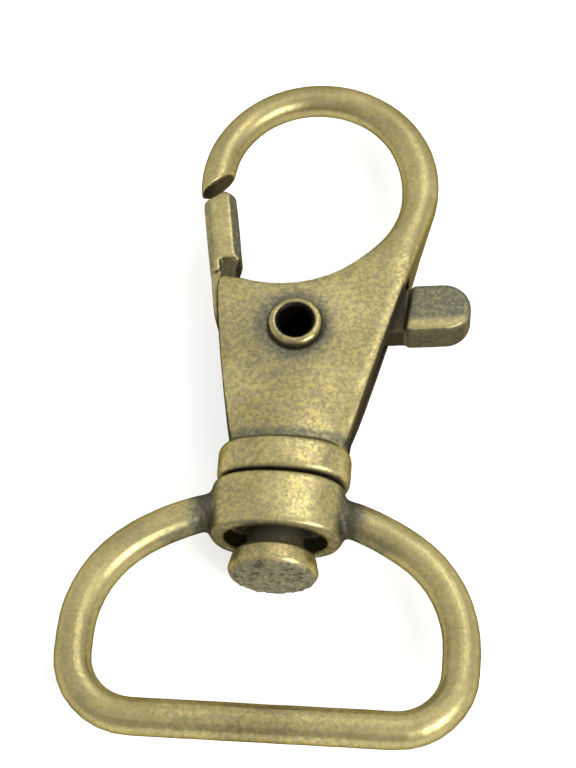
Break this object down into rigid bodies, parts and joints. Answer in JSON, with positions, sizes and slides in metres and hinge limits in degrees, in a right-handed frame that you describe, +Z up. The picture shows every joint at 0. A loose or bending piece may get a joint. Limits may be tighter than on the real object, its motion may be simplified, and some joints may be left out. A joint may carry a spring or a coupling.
{
  "type": "swivel snap hook",
  "caption": "Flat snap hook with a round loop, a sprung gate lever worked by a thumb tab, and a D-ring for a strap that swivels on a headed stud.",
  "frame": {"origin": "under the middle of the hook, on the surface it lies on", "axes": "+Y runs from the D-ring to the loop, +Z points up out of the flat face, +X points to the side of the thumb tab"},
  "size_m": [0.031, 0.056, 0.0074],
  "materials": {
    "body": "antique plated, satin",
    "rivet": "antique plated, satin",
    "stud": "antique plated, dull",
    "spring": "drawn wire",
    "lever": "antique plated, satin",
    "ring": "antique plated, satin"
  },
  "bodies": {
    "hook": {"hook_body": "body", "pivot_rivet": "rivet", "swivel_stud": "stud", "torsion_spring": "spring"},
    "lever": {"gate_lever": "lever"},
    "ring": {"d_ring": "ring"}
  },
  "joints": [
    {"name": "gate_hinge", "type": "hinge", "parent": "hook", "child": "lever", "pos_m": [0.0004, 0.0045, 0.0037], "axis": [0, 0, -1], "range_deg": [0, 44], "stiffness_Nm_per_rad": 0.012, "springref_deg": -28.65, "deforming": ["torsion_spring"]},
    {"name": "ring_swivel", "type": "hinge", "parent": "hook", "child": "ring", "pos_m": [0, -0.0104, 0.0037], "axis": [0, 1, 0], "continuous": true}
  ]
}
